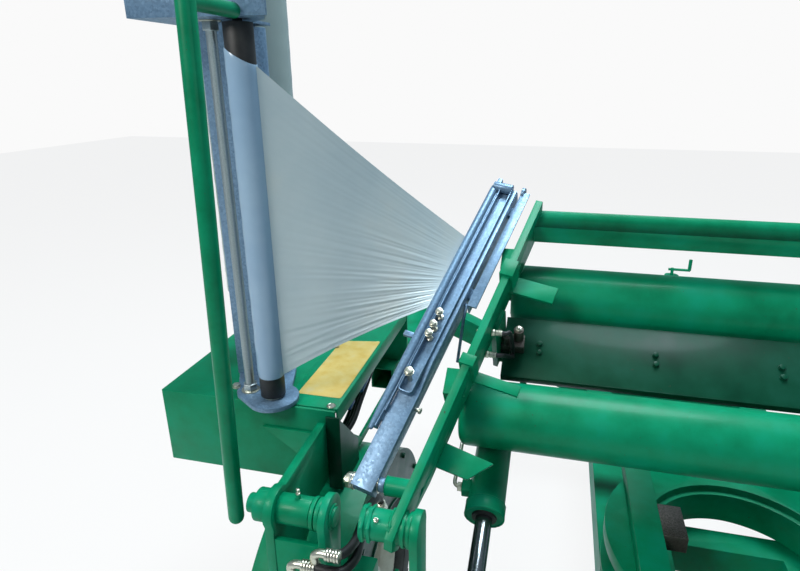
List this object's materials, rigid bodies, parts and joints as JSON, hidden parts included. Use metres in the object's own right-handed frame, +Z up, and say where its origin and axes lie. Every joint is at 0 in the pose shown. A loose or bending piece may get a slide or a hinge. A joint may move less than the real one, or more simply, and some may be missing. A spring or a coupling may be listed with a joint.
{
  "type": "trailed round bale wrapper",
  "caption": "Trailed bale wrapper: turntable with two drums that tips to the rear, film dispenser on a box, swinging film clamp arms, drawbar and road wheels.",
  "frame": {"origin": "centre of the tow eye's bore, halfway through the eye", "axes": "+X to the machine's right, +Y forward along the drawbar, +Z up"},
  "size_m": [2.685, 3.268, 2.004],
  "materials": {
    "green_enamel": "satin",
    "zinc": "satin",
    "steel": "satin",
    "yellow_print": "satin",
    "black_rubber": "matte",
    "tyre": "matte",
    "rim_white": "satin",
    "film": "satin",
    "alloy": "satin"
  },
  "bodies": {
    "chassis": {"tow_eye": "steel", "drawbar": "green_enamel", "main_frame": "green_enamel", "axle_beam": "green_enamel", "pedestal": "green_enamel", "dispenser_box": "green_enamel", "box_lid": "yellow_print", "mudguard_left": "green_enamel", "mudguard_right": "green_enamel", "front_stay": "green_enamel", "bent_shield": "green_enamel", "hinge_lug": "green_enamel", "lug_boss": "green_enamel", "lug_pin": "green_enamel", "box_gusset": "green_enamel", "reel_base": "zinc", "reel_post": "zinc", "reel_tie_rod": "zinc", "film_web": "film", "guard_bar": "green_enamel", "hose_pair": "black_rubber", "jack_tube": "green_enamel"},
    "jack_foot": {"jack_leg": "zinc"},
    "stretch_roller": {"stretch_roller": "black_rubber"},
    "alloy_roller": {"alloy_roller": "alloy"},
    "film_roll": {"film_roll": "film"},
    "wheel_left": {"tyre_left": "tyre", "rim_left": "rim_white"},
    "wheel_right": {"tyre_right": "tyre", "rim_right": "rim_white"},
    "turntable": {"slew_ring": "green_enamel", "turn_frame": "green_enamel", "oil_manifold": "black_rubber"},
    "table": {"side_plate_left": "green_enamel", "side_plate_right": "green_enamel", "table_cross": "green_enamel"},
    "drum_rear": {"drum_rear": "green_enamel"},
    "drum_front": {"drum_front": "green_enamel"},
    "clamp_left": {"clamp_arm_left": "zinc", "clamp_jaw_left": "zinc"},
    "clamp_right": {"clamp_arm_right": "zinc", "clamp_jaw_right": "zinc"},
    "cylinder_left": {"tilt_cylinder_left": "green_enamel"},
    "rod_left": {"tilt_rod_left": "steel"},
    "cylinder_right": {"tilt_cylinder_right": "green_enamel"},
    "rod_right": {"tilt_rod_right": "steel"}
  },
  "joints": [
    {"name": "wheel_left_spin", "type": "hinge", "parent": "chassis", "child": "wheel_left", "pos_m": [-1.06, -2.75, -0.07], "axis": [1, 0, 0], "continuous": true},
    {"name": "wheel_right_spin", "type": "hinge", "parent": "chassis", "child": "wheel_right", "pos_m": [1.06, -2.75, -0.07], "axis": [1, 0, 0], "continuous": true},
    {"name": "table_turn", "type": "hinge", "parent": "chassis", "child": "turntable", "pos_m": [0, -2.6, 0.12], "axis": [0, 0, 1], "continuous": true, "deforming": ["film_web"]},
    {"name": "table_tilt", "type": "hinge", "parent": "turntable", "child": "table", "pos_m": [0, -3.07, 0.47], "axis": [1, 0, 0], "range_deg": [-35, 10], "deforming": ["film_web"]},
    {"name": "drum_rear_spin", "type": "hinge", "parent": "table", "child": "drum_rear", "pos_m": [0, -2.70307, 0.52306], "axis": [1, 0, 0], "continuous": true},
    {"name": "drum_front_spin", "type": "hinge", "parent": "table", "child": "drum_front", "pos_m": [0, -2.40572, 0.73126], "axis": [1, 0, 0], "continuous": true},
    {"name": "clamp_left_swing", "type": "hinge", "parent": "table", "child": "clamp_left", "pos_m": [-0.889, -2.99078, 0.49983], "axis": [1, 0, 0], "range_deg": [0, 60], "deforming": ["film_web"]},
    {"name": "clamp_right_swing", "type": "hinge", "parent": "table", "child": "clamp_right", "pos_m": [0.889, -2.99078, 0.49983], "axis": [1, 0, 0], "range_deg": [0, 60]},
    {"name": "film_roll_spin", "type": "hinge", "parent": "chassis", "child": "film_roll", "pos_m": [-1.337, -2.52, 0.9], "axis": [0, 0, 1], "continuous": true},
    {"name": "stretch_roller_spin", "type": "hinge", "parent": "chassis", "child": "stretch_roller", "pos_m": [-1.19, -2.806, 0.9], "axis": [0, 0, 1], "continuous": true},
    {"name": "alloy_roller_spin", "type": "hinge", "parent": "chassis", "child": "alloy_roller", "pos_m": [-1.235, -2.672, 0.9], "axis": [0, 0, 1], "continuous": true},
    {"name": "jack_slide", "type": "slide", "parent": "chassis", "child": "jack_foot", "axis": [0, 0, 1], "range_m": [0, 0.25]},
    {"name": "cylinder_left_swing", "type": "hinge", "parent": "table", "child": "cylinder_left", "pos_m": [-0.655, -2.50104, 0.44722], "axis": [1, 0, 0], "range_deg": [-2.76, 8.92]},
    {"name": "rod_left_slide", "type": "slide", "parent": "cylinder_left", "child": "rod_left", "axis": [0, 0.9377, 0.3474], "range_m": [-0.046, 0.155]},
    {"name": "cylinder_right_swing", "type": "hinge", "parent": "table", "child": "cylinder_right", "pos_m": [0.655, -2.50104, 0.44722], "axis": [1, 0, 0], "range_deg": [-2.76, 8.92]},
    {"name": "rod_right_slide", "type": "slide", "parent": "cylinder_right", "child": "rod_right", "axis": [0, 0.9377, 0.3474], "range_m": [-0.046, 0.155]}
  ],
  "couplings": [
    {"joint": "cylinder_left_swing", "follows": "table_tilt", "ratio": -0.24629},
    {"joint": "rod_left_slide", "follows": "table_tilt", "m_per_rad": -0.24884},
    {"joint": "cylinder_right_swing", "follows": "table_tilt", "ratio": -0.24629},
    {"joint": "rod_right_slide", "follows": "table_tilt", "m_per_rad": -0.24884}
  ]
}
